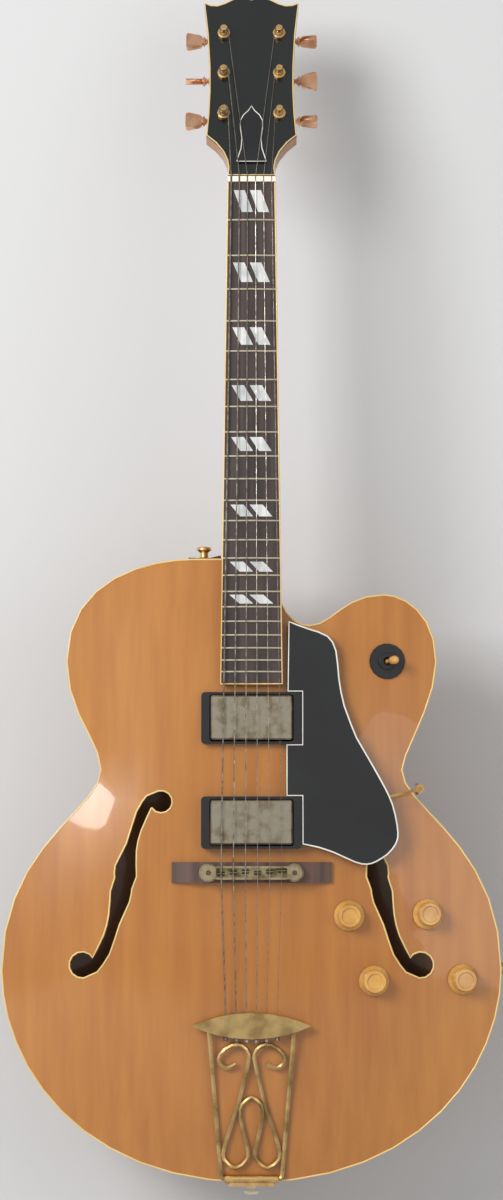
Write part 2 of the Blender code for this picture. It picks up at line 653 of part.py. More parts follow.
def make_neck():
    shaft_end = -(NUT_Z - BODY_LENGTH) / math.cos(NECK_ANGLE)
    stations = [(6, 20.3, 13.6), (0, 20.6, 14.2)]
    sections = [neck_section(z * MM, half * MM, depth * MM) for z, half, depth in stations]
    for z, share in ((-40, 0.15), (-150, 0.55), (-265, 1.0)):
        depth = NECK_DEPTH_AT_NUT + (NECK_DEPTH_AT_HEEL - NECK_DEPTH_AT_NUT) * share
        sections.append(neck_section(z * MM, board_half(z * MM) - 0.3 * MM, depth))
    heel = NECK_DEPTH_AT_HEEL
    full = HEEL_BACK + BOARD_FRONT_AT_NUT + shaft_end * math.sin(-NECK_ANGLE) - BOARD_THICKNESS - GAP
    for rise, growth, fullness in ((40, 0.06, 0.74), (22, 0.24, 0.82), (12, 0.56, 0.92), (6.5, 0.88, 1.0)):
        z = shaft_end + rise * MM
        sections.append(neck_section(z, board_half(z) - 0.3 * MM, heel + (full - heel) * growth, fullness))
    last = [NECK @ Vector(p) for p in neck_section(shaft_end, board_half(shaft_end) - 0.3 * MM, full, 1.0)]
    rings = [[NECK @ Vector(p) for p in ring] for ring in sections]
    rings.append([(p.x, p.y, BODY_LENGTH + GAP) for p in last])
    neck = add("neck", loft_mesh("neck", rings), NECK_MAPLE)
    wood = VENEER + GAP
    holes = [arc((side * TUNER_X, s), TUNER_TUBE + GAP, 0, 330, 12) for side, s in tuner_places()]
    head = slab_mesh("headstock", head_outline(), holes, flat(wood), flat(wood + HEAD_THICKNESS))
    join(neck, head, HEAD)
    end = (NECK @ Vector((0, 0, -BOARD_LENGTH))).z + 2 * MM
    wide = board_half(shaft_end) - 1.2 * MM
    tongue = [(-wide - MM, end), (wide + MM, end), (wide, BODY_LENGTH + 3 * MM), (-wide, BODY_LENGTH + 3 * MM)]
    run = [(x, z) for x, z in tongue]
    run[1:1] = [(x, end) for x in (-wide / 2, 0, wide / 2)]
    mesh = slab_mesh(
        "tongue",
        run,
        [],
        lambda x, z: board_bottom(z) + 1.5 * GAP / math.cos(NECK_ANGLE),
        lambda x, z: -HALF_DEPTH - TOP_ARCH * arch(x, min(z, BODY_LENGTH)) - 1.2 * GAP,
        18 * MM,
    )
    join(neck, mesh)
    half, deep, long = TENON
    join(neck, box_mesh("tenon", (2 * half, 2 * deep, long + 6 * MM), (0, 0, BODY_LENGTH + 3 * MM - long / 2)))
    rod_low = -NUT_Z + BODY_LENGTH + 12 * MM
    axis = BOARD_THICKNESS + GAP + ROD_DEPTH
    side = ROD_RADIUS + GAP
    middle = (0, axis - ROD_DEPTH + side, rod_low / 2 + 7 * MM)
    channel = box_mesh("rod_channel", (2 * side, 2 * ROD_DEPTH, -rod_low + 23 * MM), middle)
    pocket = box_mesh("rod_pocket", (11 * MM, 26 * MM, 19 * MM), (0, 4.2 * MM, 24.5 * MM))
    cut(neck, channel, NECK)
    cut(neck, pocket, NECK)
    rod = rod_mesh("truss_rod", ROD_RADIUS, 27 * MM - rod_low - 2 * GAP, 10)
    rod_piece = add("truss_rod", rod, STEEL, NECK @ Matrix.Translation((0, axis, rod_low + GAP)))
    join(rod_piece, rod_mesh("rod_nut", 4.2 * MM, 8 * MM, 6), NECK @ Matrix.Translation((0, axis, 17 * MM)))


def make_fingerboard():
    def section(z):
        half = board_half(z)
        top = [(half * k, crown(half * k), z) for k in (1, 0, -1)]
        return [(-half, BOARD_THICKNESS, z), (half, BOARD_THICKNESS, z), *top]

    mesh = loft_mesh("fingerboard", [section(0), section(-BOARD_LENGTH)], smooth=False)
    board = add("fingerboard", mesh, ROSEWOOD, NECK)
    frets = []
    for n in range(1, FRETS + 1):
        z = fret_place(n)
        foot, head = FRET_WIDTH / 2, FRET_WIDTH / 4
        rings = []
        for k in (-1, 0, 1):
            x = k * (board_half(z) - 0.5 * MM)
            y = crown(x)
            rise = FRET_HEIGHT * (0.8 if k else 1)
            rings.append([(x, y + MM, z - foot), (x, y - rise, z - head), (x, y - rise, z + head), (x, y + MM, z + foot)])
        frets.append(add(f"fret_{n}", loft_mesh(f"fret_{n}", rings, smooth=False), None, cutter=True))
    join(board, joined("frets", frets), NECK)


def string_x(i, span):
    return span * (i / (STRINGS - 1) - 0.5)


def string_at_nut(i, z=0.0):
    x = string_x(i, STRINGS_AT_NUT)
    return NECK @ Vector((x, crown(x) - STRING_ABOVE_NUT_END, z))


def string_at_saddle(i):
    x = string_x(i, STRINGS_AT_BRIDGE)
    return NECK @ Vector((x, crown(x) - STRING_ABOVE_BRIDGE_END, -SCALE_LENGTH - COMPENSATION[i]))


def make_nut():
    tall = BOARD_THICKNESS + 2.6 * MM
    half = BOARD_AT_NUT / 2
    top = [(half * k, crown(half * k) + BOARD_THICKNESS - tall) for k in (1, 0.5, 0, -0.5, -1)]
    run = [(-half, BOARD_THICKNESS), (half, BOARD_THICKNESS), *top]
    rings = [[(x, y, z) for x, y in run] for z in (GAP, NUT_LENGTH)]
    nut = add("nut", loft_mesh("nut", rings, smooth=False), BONE, NECK)
    for i, radius in enumerate(STRING_RADII):
        x = string_x(i, STRINGS_AT_NUT)
        floor = crown(x) - STRING_ABOVE_NUT_END + radius + GAP
        slot = box_mesh(f"slot_{i + 1}", (2 * (radius + GAP), 6 * MM, 3 * NUT_LENGTH), (x, floor - 3 * MM, 0))
        cut(nut, slot, NECK)


def make_head_face():
    holes = [arc((side * TUNER_X, s), TUNER_TUBE + GAP, 0, 330, 12) for side, s in tuner_places()]
    holes.append(rounded_box(11 * MM, 16 * MM, (0, 21 * MM), 2 * MM, 2))
    mesh = slab_mesh("headstock_face", head_outline(), holes, flat(0), flat(VENEER))
    add("headstock_face", mesh, BLACK_GLOSS, HEAD)


def make_truss_cover():
    half = [(0, 12.4), (13.2, 12.4), (12.2, 17), (9.6, 26), (8.8, 36), (10.1, 46), (10.3, 54), (7.5, 60)]
    half += [(3.2, 64.5), (0, 69.6)]
    run = mirrored([(x * MM, z * MM) for x, z in half])
    mesh = slab_mesh("truss_cover", run, [], flat(-2 * MM - GAP), flat(-GAP))
    add("truss_cover", mesh, BLACK_PLASTIC, HEAD)


def make_tuner(i, side, s):
    """A geared tuner: casing behind the headstock with its tube through it, post, and button on its worm."""
    deep = VENEER + HEAD_THICKNESS
    front = HEAD @ Matrix.Translation((side * TUNER_X, 0, s)) @ Matrix.Rotation(math.pi / 2, 4, "X")
    bore = POST_RADIUS + GAP
    back = -deep - CASING_DEPTH
    floor = back + 3 * MM
    under = -deep - 2 * GAP
    profile = [(0, floor), (bore, floor), (bore, 2.4 * MM), (4.2 * MM, 2.4 * MM), (5.7 * MM, 1.9 * MM)]
    profile += [(5.7 * MM, GAP), (TUNER_TUBE, GAP), (TUNER_TUBE, under), (CASING_RADIUS, under)]
    profile += [(CASING_RADIUS, back + 1.5 * MM), (CASING_RADIUS - 1.5 * MM, back), (0, back)]
    housing = turned(f"tuner_housing_{i}", profile, GOLD, front, 10)
    axis = (-deep - CASING_DEPTH / 2 - GAP, WORM_OFFSET)
    arm = HEAD @ Matrix.Translation((side * TUNER_X, -axis[0], s + axis[1]))
    outwards = arm @ Matrix.Rotation(side * math.pi / 2, 4, "Y")
    inner = Matrix.Translation((0, 0, 5 * MM)) @ Matrix.Rotation(0.2, 4, "Z")
    join(housing, rod_mesh(f"arm_{i}", 3.8 * MM, 8.5 * MM, 10), outwards @ inner)
    shaft = 1.9 * MM
    cut(housing, rod_mesh(f"arm_bore_{i}", shaft + GAP, 6 * MM, 10), outwards @ Matrix.Translation((0, 0, 9 * MM)))
    r, h = POST_RADIUS, POST_HEIGHT
    shape = [(0, h), (r - 0.6 * MM, h), (r, h - 0.6 * MM), (r, h - 2.6 * MM), (r - 0.7 * MM, h - 3.6 * MM)]
    shape += [(r - 0.7 * MM, 4.2 * MM), (r, 3.4 * MM), (r, floor + GAP), (0, floor + GAP)]
    post = turned(f"tuner_post_{i}", shape, GOLD, front, 12)
    eye = front @ Matrix.Translation((0, 0, h - 4.6 * MM)) @ Matrix.Rotation(math.pi / 2, 4, "X")
    cut(post, rod_mesh(f"string_eye_{i}", 0.8 * MM, 4 * r, 8), eye @ Matrix.Translation((0, 0, -2 * r)))
    make_button(i, outwards, shaft, BUTTON_TURNS[i - 1])


def make_button(i, frame, shaft, turn):
    """A keystone button: shaft, two-step collar and a plate that widens outwards."""
    start, end = BUTTON_IN - TUNER_X, BUTTON_OUT - TUNER_X
    about = frame @ Matrix.Rotation(turn, 4, "Z")
    profile = [(0, start + 5 * MM), (2.6 * MM, start + 5 * MM), (3.4 * MM, start + 3.2 * MM)]
    profile += [(4.6 * MM, start + 3 * MM), (4.6 * MM, start + 1.6 * MM), (3 * MM, start + 1.2 * MM)]
    profile += [(3 * MM, start), (shaft, start), (shaft, 9.3 * MM), (0, 9.3 * MM)]
    button = turned(f"tuner_button_{i}", profile, GOLD, about, 10)
    low, high = start + 4 * MM, end
    run = [(-4.2 * MM, low), (4.2 * MM, low), (6 * MM, low + 2 * MM), (8.6 * MM, high - 2.4 * MM)]
    run += [(7.8 * MM, high - 0.6 * MM), (5 * MM, high), (-5 * MM, high), (-7.8 * MM, high - 0.6 * MM)]
    run += [(-8.6 * MM, high - 2.4 * MM), (-6 * MM, low + 2 * MM)]
    rings = [[(x * k, y, z if z < high - 3 * MM else high + (z - high) * k) for x, z in run]
             for y, k in ((-2.5 * MM, 0.88), (-1.6 * MM, 1), (1.6 * MM, 1), (2.5 * MM, 0.88))]
    join(button, loft_mesh(f"button_plate_{i}", rings), about)


def make_strings():
    places = tuner_places()
    for i in range(STRINGS):
        radius = STRING_RADII[i]
        side, s = places[i]
        post = HEAD @ Vector((side * (TUNER_X - POST_RADIUS - radius - GAP), -6.2 * MM, s))
        saddle = string_at_saddle(i)
        x = string_x(i, STRINGS_AT_TAIL)
        upper = Vector((x, -CROSSBAR_FRONT + CROSSBAR[2] / 2, TAILPIECE_Z + crossbar_half(x) + 6 * MM))
        lower = Vector((x, upper.y, TAILPIECE_Z - crossbar_half(x)))
        run = [post, string_at_nut(i, NUT_LENGTH), string_at_nut(i), saddle, upper]
        run += [lower - Vector((0, 0, k * MM)) for k in (0.2, 0.6, 3.2, 3.6)]
        bead = 1.9 * MM / radius
        tube(f"string_{i + 1}", run, radius, STEEL, radii=[1, 1, 1, 1, 1, 1, bead, bead, 1])


def crossbar_half(x):
    """Half the crossbar's height at a distance x from its middle: two arcs that meet in a point."""
    half_length, half_height = CROSSBAR[0] / 2, CROSSBAR[1] / 2
    radius = (half_length**2 + half_height**2) / (2 * half_height)
    return math.sqrt(radius**2 - x**2) - radius + half_height


def make_bridge():
    long, wide = BRIDGE_BASE
    z = BRIDGE_Z

    def base_front(x, _):
        rise = min(1.0, max(0.0, (long / 2 - abs(x)) / (long / 2 - 47 * MM)))
        ends = top_front(long / 2, z) - 3.4 * MM
        return ends + (-BASE_TOP - ends) * (rise * rise * (3 - 2 * rise))

    xs = [long / 2 * k for k in (-1, -0.92, -0.84, -0.76, -0.69, -0.35, 0, 0.35, 0.69, 0.76, 0.84, 0.92, 1)]
    run = [(x, z - wide / 2) for x in xs] + [(x, z + wide / 2) for x in reversed(xs)]
    mesh = slab_mesh("bridge_base", run, [], base_front, lambda x, q: top_front(x, q) - 1.3 * GAP, 26 * MM)
    base = add("bridge_base", mesh, ROSEWOOD)
    out = Matrix.Rotation(math.pi / 2, 4, "X")
    body_back = BRIDGE_TOP - 5.6 * MM
    wheel_front = body_back - GAP
    for name, x in (("bass", -POST_SPACING / 2), ("treble", POST_SPACING / 2)):
        foot = Matrix.Translation((x, -BASE_TOP + MM, z)) @ out
        join(base, rod_mesh(f"stud_{name}", STUD_RADIUS, BRIDGE_TOP + MM - BASE_TOP + 0.6 * MM, 10), foot)
        back = wheel_front - WHEEL_THICKNESS
        hole = STUD_RADIUS + GAP
        edge = 0.5 * MM
        profile = [(hole, 0), (hole, WHEEL_THICKNESS), (WHEEL_RADIUS - edge, WHEEL_THICKNESS)]
        profile += [(WHEEL_RADIUS, WHEEL_THICKNESS - edge), (WHEEL_RADIUS, edge), (WHEEL_RADIUS - edge, 0), (hole, 0)]
        turned(f"thumbwheel_{name}", profile, NICKEL, Matrix.Translation((x, -back, z)) @ out, 16)
    half = POST_SPACING / 2
    r = BRIDGE_END_RADIUS
    w = BRIDGE_WIDTH / 2 - 0.6 * MM
    reach = math.degrees(math.asin(w / r))
    outline = arc((half, z), r, -180 + reach, 180 - reach, 9)
    outline += [(x, z + BRIDGE_WIDTH / 2) for x in (half - r - 2 * MM, -half + r + 2 * MM)]
    outline += arc((-half, z), r, reach, 360 - reach, 9)
    outline += [(x, z - BRIDGE_WIDTH / 2) for x in (-half + r + 2 * MM, half - r - 2 * MM)]
    holes = [arc((side * half, z), STUD_RADIUS + GAP, 0, 324, 10) for side in (-1, 1)]
    mesh = slab_mesh("bridge_body", outline, holes, flat(-BRIDGE_TOP), flat(-body_back))
    body = add("bridge_body", mesh, OLD_GOLD)
    length, width, deep = TROUGH
    cut(body, box_mesh("trough", (length, 2 * deep, width), (0, -BRIDGE_TOP, z)))
    for i in range(STRINGS):
        x = string_x(i, STRINGS_AT_BRIDGE)
        low = Matrix.Translation((x, -BRIDGE_TOP + 2.4 * MM, z - width / 2 - MM))
        join(body, rod_mesh(f"saddle_screw_{i + 1}", SADDLE_SCREW, width + 2 * MM, 6), low)
        make_saddle(i, x)


def make_saddle(i, x):
    """A wedge that rides along its screw in the bridge's trough and carries one string on its ridge."""
    wide, long = SADDLE
    contact = string_at_saddle(i)
    ridge = contact.y + STRING_RADII[i] + 1.4 * GAP
    floor = -BRIDGE_TOP + TROUGH[2] - GAP
    run = [(contact.z - long / 2, floor), (contact.z + long / 2, floor), (contact.z + long / 2, ridge + 2.2 * MM)]
    run += [(contact.z + 0.25 * MM, ridge), (contact.z - 0.25 * MM, ridge), (contact.z - long / 2, ridge + 2.2 * MM)]
    rings = [[(x + side * wide / 2, y, z) for z, y in run] for side in (-1, 1)]
    saddle = add(f"saddle_{i + 1}", loft_mesh(f"saddle_{i + 1}", rings, smooth=False), NICKEL)
    bore = Matrix.Translation((x, -BRIDGE_TOP + 2.4 * MM, contact.z - 2 * long))
    cut(saddle, rod_mesh(f"saddle_bore_{i + 1}", SADDLE_SCREW + 0.8 * GAP, 4 * long, 6), bore)


def string_front(z):
    """The y of the middle strings over the body at a height z."""
    near, far = string_at_nut(2), string_at_saddle(2)
    return far.y + (near.y - far.y) * (z - far.z) / (near.z - far.z)


def make_pickup(name):
    z, row, below = PICKUPS[name]
    tilt = math.atan((string_front(z) - string_front(z - MM)) / MM)
    face = string_front(z) + below + 0.9 * MM

    def ring_front(x, q):
        return face + 3.4 * MM + (q - z) * math.tan(tilt)

    def along(width, height, corner, bits):
        run = rounded_box(width, height, (0, z), corner, 3)
        dense = []
        for a, b in zip(run, run[1:] + run[:1]):
            pieces = bits if abs(a[0] - b[0]) > width / 2 else 1
            dense += [(a[0] + (b[0] - a[0]) * k / pieces, a[1] + (b[1] - a[1]) * k / pieces) for k in range(pieces)]
        return dense

    width, height = COVER_SIZE
    hole = along(width + 2 * 1.2 * MM, height + 2 * 1.2 * MM, 2.2 * MM, 4)
    outline = along(*RING_SIZE, 3 * MM, 6)
    mesh = slab_mesh(f"pickup_ring_{name}", outline, [hole], ring_front, lambda x, q: top_front(x, q) - 1.3 * GAP)
    add(f"pickup_ring_{name}", mesh, BLACK_PLASTIC)
    frame = Matrix.Translation((0, face, z + 0.5 * MM)) @ Matrix.Rotation(-tilt, 4, "X")
    cover = box_mesh(f"pickup_{name}", (width, PICKUP_DEPTH, height), (0, PICKUP_DEPTH / 2, 0), bevel=1.2 * MM)
    pickup = add(f"pickup_{name}", cover, NICKEL, frame)
    poles = []
    for i in range(STRINGS):
        spot = Matrix.Translation((string_x(i, POLE_SPAN), 2 * MM, row)) @ Matrix.Rotation(math.pi / 2, 4, "X")
        poles.append(add(f"pole_{i}", rod_mesh(f"pole_{i}", POLE_RADIUS, 2.7 * MM, 8), None, spot, cutter=True))
    join(pickup, joined(f"poles_{name}", poles), frame)


def make_tailpiece():
    """A pointed crossbar that holds the strings, two side rods, and one bent wire that curls between them."""
    thick = CROSSBAR[2]
    middle = -CROSSBAR_FRONT + thick / 2
    xs = [CROSSBAR[0] / 2 * k for k in (-1, -0.93, -0.8, -0.6, -0.35, 0, 0.35, 0.6, 0.8, 0.93, 1)]
    upper = [(x, TAILPIECE_Z + crossbar_half(x)) for x in reversed(xs)]
    lower = [(x, TAILPIECE_Z - crossbar_half(x)) for x in xs[1:-1]]
    mesh = slab_mesh("tailpiece", upper + lower, [], flat(-CROSSBAR_FRONT), flat(middle + thick / 2))
    tailpiece = add("tailpiece", mesh, GOLD)
    foot_y = HINGE_Y
    for side in (-1, 1):
        rod = [(side * ROD_TOP_X, middle, TAILPIECE_Z - 2 * MM), (side * ROD_FOOT_X, foot_y, HINGE_Z + 5 * MM)]
        rod += [(side * (ROD_FOOT_X - 0.4 * MM), foot_y, HINGE_Z + 1.2 * MM), (side * (ROD_FOOT_X - 1.8 * MM), foot_y, HINGE_Z)]
        rod.append((side * (HINGE_HALF - 6 * MM), foot_y, HINGE_Z))
        join(tailpiece, tube_mesh(f"side_rod_{side + 2}", rod, WIRE_RADIUS, 1))
    wire = bent_wire()
    depth = [middle + (foot_y - middle) * (TAILPIECE_Z - z) / (TAILPIECE_Z - HINGE_Z) for _, z in wire]
    route = [(x, y, z) for (x, z), y in zip(wire, depth)]
    join(tailpiece, tube_mesh("bent_wire", route, WIRE_RADIUS * 0.95, 1))
    for i in range(STRINGS):
        x = string_x(i, STRINGS_AT_TAIL)
        hole = Matrix.Translation((x, middle, TAILPIECE_Z - 20 * MM))
        cut(tailpiece, rod_mesh(f"string_hole_{i + 1}", 1.25 * MM, 40 * MM, 8), hole)


def bent_wire():
    """Half of the wire from its curl under the crossbar to the top of the middle arch, then its mirror."""
    curl = [(-13, 103), (-21, 99.5), (-27.5, 103.5), (-27, 111.5), (-17, 119), (-8, 118.6), (-2.6, 112), (-3.4, 102)]
    leg = [(-10.6, 71), (-22.6, 34), (-23.6, 21), (-13.6, 13.4), (-4.6, 20), (-3.2, 29), (-9.4, 56), (-8, 68.5), (0, 74.6)]
    half = [(x * MM, z * MM) for x, z in smooth_run(curl + leg, 2)]
    return half + [(-x, z) for x, z in reversed(half[:-1])]


def make_hinge():
    """The bracket at the foot of the body: a knuckle across the front edge and a plate bent under it."""
    y = HINGE_Y
    across = Matrix.Rotation(math.pi / 2, 4, "Y")
    knuckle = rod_mesh("knuckle", HINGE_RADIUS, 2 * HINGE_HALF, 12)
    plate = box_mesh("tailpiece_hinge", (40 * MM, 44 * MM, 2 * MM), (0, y + 21.5 * MM, -GAP - MM))
    bracket = add("tailpiece_hinge", plate, GOLD)
    join(bracket, knuckle, Matrix.Translation((-HINGE_HALF, y, HINGE_Z - 0.4 * MM)) @ across)
    web = box_mesh("web", (38 * MM, 3 * MM, 4 * MM), (0, y, -GAP))
    join(bracket, web)
    bore = rod_mesh("knuckle_bore", WIRE_RADIUS + GAP, 3 * HINGE_HALF, 10)
    cut(bracket, bore, Matrix.Translation((-1.5 * HINGE_HALF, y, HINGE_Z)) @ across)
    cut(bracket, rod_mesh("pin_through", POST_RADIUS + GAP, 10 * MM), Matrix.Translation((0, 0, -6 * MM)))
    for side in (-1, 1):
        head = Matrix.Translation((side * 13.5 * MM, y + 10 * MM, -GAP - 3.2 * MM))
        join(bracket, rod_mesh(f"screw_head_{side + 2}", 3.2 * MM, 2 * MM, 10, 3.2 * MM), head)


def guard_front(z):
    return string_front(z) + GUARD_BELOW_STRINGS


def make_pickguard():
    def mm(points):
        return [(x * MM, z * MM) for x, z in points]

    outer = mm(smooth_run([(32, 482.6), (49, 476.6), (66, 470), (73.5, 457), (76, 433), (80.5, 409.5), (91, 382)], 2))
    outer += mm(smooth_run([(91, 382), (111, 347), (121.5, 325), (126.2, 301), (123.5, 289.5), (116.3, 281.2)], 3)[1:])
    outer += mm(smooth_run([(116.3, 281.2), (107, 275.4), (98.5, 273), (88.5, 275), (70, 283.3), (57, 287.6)], 2)[1:])
    side = RING_SIZE[0] / 2 + GUARD_CLEARANCE
    high = RING_SIZE[1] / 2 + GUARD_CLEARANCE
    near, far = 30.0 * MM, PICKUPS["bridge"][0]
    notch = [(side, far - high + 4 * MM), (side, far + high), (near, far + high)]
    upper = PICKUPS["neck"][0]
    notch += [(near, upper - high), (side, upper - high), (side, upper + high), (near + MM, upper + high)]
    run = outer + notch
    back = GUARD_THICKNESS
    mesh = slab_mesh(
        "pickguard", run, [], lambda x, z: guard_front(z), lambda x, z: guard_front(z) + back, 60 * MM
    )
    add("pickguard", mesh, BLACK_PLASTIC)


def make_bracket():
    """A threaded rod from under the pickguard, bent over the edge of the body and footed on its side."""
    z = 331 * MM
    radius = BRACKET_RADIUS
    y = guard_front(z) + GUARD_THICKNESS + GAP + radius
    edge = np.array([q for q in OUTLINE if q[0] > 0 and abs(q[1] - 338 * MM) < 30 * MM])
    side = float(np.interp(331 * MM, edge[:, 1], edge[:, 0])) + 1.2 * MM + radius
    bend = [(108 * MM, y, z - 4 * MM), (118 * MM, y, z), (side - 5 * MM, y, z + 6 * MM)]
    bend += [(side - 1.2 * MM, y + 1.8 * MM, z + 7 * MM), (side, y + 6 * MM, z + 7 * MM), (side, -3 * MM, z + 7 * MM)]
    bracket = add("pickguard_bracket", tube_mesh("pickguard_bracket", bend, radius, 1), GOLD)
    across = Matrix.Rotation(math.pi / 2, 4, "Y")
    foot = Matrix.Translation((side - radius - 0.8 * MM, -6 * MM, z + 7 * MM)) @ across
    join(bracket, rod_mesh("bracket_foot", 5 * MM, 2.4 * MM, 12), foot)
    out = Matrix.Rotation(math.pi / 2, 4, "X")
    clamp = Matrix.Translation((side, y + 14 * MM, z + 7 * MM)) @ out
    join(bracket, rod_mesh("bracket_nut", 4.2 * MM, 6 * MM, 6), clamp)


def make_switch():
    frame = seat(*SWITCH_PLACE, SWITCH_WASHER)
    barrel, washer = 6 * MM, SWITCH_WASHER
    low = -24 * MM
    cup = 3.6 * MM
    profile = [(0, -6 * MM), (cup, -6 * MM), (cup, 4.2 * MM), (6.6 * MM, 4.2 * MM), (7.6 * MM, 3.4 * MM)]
    profile += [(7.6 * MM, 1.6 * MM), (washer - 0.6 * MM, 1.6 * MM), (washer, MM), (washer, 0), (barrel, 0)]
    profile += [(barrel, low), (0, low)]
    turned("switch_body", profile, BLACK_PLASTIC, frame, 18)
    pivot = frame @ Matrix.Rotation(SWITCH_THROW, 4, "Y")
    neck = 1.5 * MM
    shape = [(0, 21 * MM), (2.4 * MM, 20.4 * MM), (3.7 * MM, 18 * MM), (3.8 * MM, 13 * MM), (2.9 * MM, 8.6 * MM)]
    shape += [(neck, 8.4 * MM), (neck, 2 * MM), (2.4 * MM, 0.5 * MM), (2 * MM, -2.6 * MM), (0, -3 * MM)]
    turned("switch_lever", shape, AMBER_PLASTIC, pivot, 12)


def make_knob(i, place):
    """A bonnet knob: a skirt, a stepped waist and a flat top with a round recess, on its shaft."""
    frame = seat(*place, KNOB_RADIUS)
    r, h = KNOB_RADIUS, KNOB_HEIGHT
    low = -PLATE - POT_DEPTH + 2.6 * MM
    profile = [(0, h - 1.2 * MM), (0.5 * r, h - 1.2 * MM), (0.54 * r, h), (0.7 * r, h), (0.76 * r, h - 1.4 * MM)]
    profile += [(0.8 * r, 5.2 * MM), (0.96 * r, 3.2 * MM), (r, 2.4 * MM), (r, 0.4 * MM), (SHAFT_RADIUS, 0.4 * MM)]
    profile += [(SHAFT_RADIUS, low), (0, low)]
    turned(f"knob_{i}", profile, AMBER_PLASTIC, frame, 16)


def make_end_pin():
    r, long = END_PIN_RADIUS, END_PIN_LENGTH
    plate = 2 * GAP + 2 * MM
    profile = [(0, 20 * MM), (POST_RADIUS, 20 * MM), (POST_RADIUS, -plate), (r, -plate), (r, -plate - 2 * MM)]
    profile += [(0.6 * r, -plate - 3.4 * MM), (0.6 * r, -long + 5 * MM), (r, -long + 2.6 * MM)]
    profile += [(r, -long + 0.8 * MM), (r - 0.8 * MM, -long), (0, -long)]
    turned("end_pin", profile, BONE, Matrix.Identity(4), 16)


def make_strap_button():
    frame = Matrix.Translation((STRAP_BUTTON_X, 0, BODY_LENGTH + GAP))
    profile = [(0, 11.5 * MM), (5.6 * MM, 11.5 * MM), (6.5 * MM, 10.6 * MM), (6.5 * MM, 8.8 * MM), (3.6 * MM, 6.6 * MM)]
    profile += [(3.6 * MM, 2.6 * MM), (6.6 * MM, MM), (6.6 * MM, 0), (2 * MM, 0), (2 * MM, -12 * MM), (0, -12 * MM)]
    turned("strap_button", profile, GOLD, frame, 16)


def make_jack():
    r, bore = JACK_RADIUS, JACK_BORE
    profile = [(0, -19 * MM), (bore, -19 * MM), (bore, 3.4 * MM), (5 * MM, 3.4 * MM), (5.4 * MM, MM), (r, MM), (r, 0)]
    profile += [(5 * MM, 0), (5 * MM, -21 * MM), (0, -21 * MM)]
    turned("output_jack", profile, NICKEL, jack_frame(), 16)


def make_guitar():
    make_top()
    make_back()
    make_rim()
    make_neck()
    make_fingerboard()
    make_nut()
    make_head_face()
    make_truss_cover()
    for i, (side, s) in enumerate(tuner_places()):
        make_tuner(i + 1, side, s)
    make_strings()
    make_bridge()
    make_pickup("neck")
    make_pickup("bridge")
    make_tailpiece()
    make_hinge()
    make_pickguard()
    make_bracket()
    make_switch()
    for i, place in enumerate(KNOBS):
        make_knob(i + 1, place)
    make_end_pin()
    make_strap_button()
    make_jack()


def hang_from_origin():
    """Moves the whole guitar so that the hanger's fork is at the origin."""
    for piece in [*GUITAR.objects, *CUTTERS.objects]:
        piece.matrix_world = Matrix.Translation(-HANGER) @ piece.matrix_world


make_guitar()
hang_from_origin()
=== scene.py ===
"""Finishes, edgings, inlays and string ends for the thinline guitar, with its camera and light."""

import json
import math

import bpy
from mathutils import Matrix, Vector


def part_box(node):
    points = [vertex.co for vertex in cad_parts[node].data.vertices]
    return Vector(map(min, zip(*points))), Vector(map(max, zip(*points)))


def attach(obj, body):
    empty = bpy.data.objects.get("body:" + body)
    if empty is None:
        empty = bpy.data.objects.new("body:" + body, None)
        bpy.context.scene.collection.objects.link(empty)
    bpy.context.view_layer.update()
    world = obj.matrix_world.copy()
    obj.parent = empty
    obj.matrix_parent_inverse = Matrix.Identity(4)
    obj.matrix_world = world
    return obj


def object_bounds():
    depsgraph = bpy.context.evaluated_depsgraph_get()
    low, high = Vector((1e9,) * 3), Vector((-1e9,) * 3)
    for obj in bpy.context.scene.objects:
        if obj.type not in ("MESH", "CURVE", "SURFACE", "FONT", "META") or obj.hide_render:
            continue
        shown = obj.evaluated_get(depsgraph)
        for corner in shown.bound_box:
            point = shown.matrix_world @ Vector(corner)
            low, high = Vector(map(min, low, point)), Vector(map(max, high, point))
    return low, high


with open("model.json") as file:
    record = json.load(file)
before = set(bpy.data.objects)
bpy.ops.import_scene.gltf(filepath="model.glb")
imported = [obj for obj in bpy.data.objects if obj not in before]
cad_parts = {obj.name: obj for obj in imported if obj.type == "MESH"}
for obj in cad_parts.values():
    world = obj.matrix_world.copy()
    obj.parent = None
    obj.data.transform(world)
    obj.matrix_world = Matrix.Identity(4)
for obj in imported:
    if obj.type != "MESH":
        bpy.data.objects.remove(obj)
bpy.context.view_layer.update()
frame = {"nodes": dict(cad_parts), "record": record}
NODES = frame["nodes"]
JOINTS = {joint["name"]: joint for joint in frame["record"]["behaviour"]["joints"]}

MM = 0.001
RIM_LOW, RIM_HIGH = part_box("rim")
BODY = Vector((0, (RIM_LOW[1] + RIM_HIGH[1]) / 2, RIM_LOW[2]))  # the body's foot, half way through
EDGE_Y = 28.5 * MM  # half the body's depth at its edge
NECK_ANGLE = math.radians(3.5)
NUT_FRONT = Vector((0, -22.6, 867.5)) * MM
NECK = Matrix.Translation(BODY + NUT_FRONT) @ Matrix.Rotation(-NECK_ANGLE, 4, "X")
SCALE_LENGTH = 597 * MM
BOARD_LENGTH = 440 * MM
BOARD_AT_NUT = 41.7 * MM
BOARD_WIDENS = 12 * MM
BOARD_RADIUS = 305 * MM
POST_RADIUS = 3.0
STRING_RADII = (0.62, 0.50, 0.38, 0.26, 0.20, 0.16)  # in mm, from the lowest string
CAMERA_PLACE = Vector((0, -2995.9, 346)) * MM  # from the foot of the body
CAMERA_UP = 3  # degrees above level
SENSOR_HEIGHT, LENS = 36, 102.84
INLAID_FRETS = (1, 3, 5, 7, 9, 12, 15, 17)
CREAM = (0.87, 0.68, 0.31)


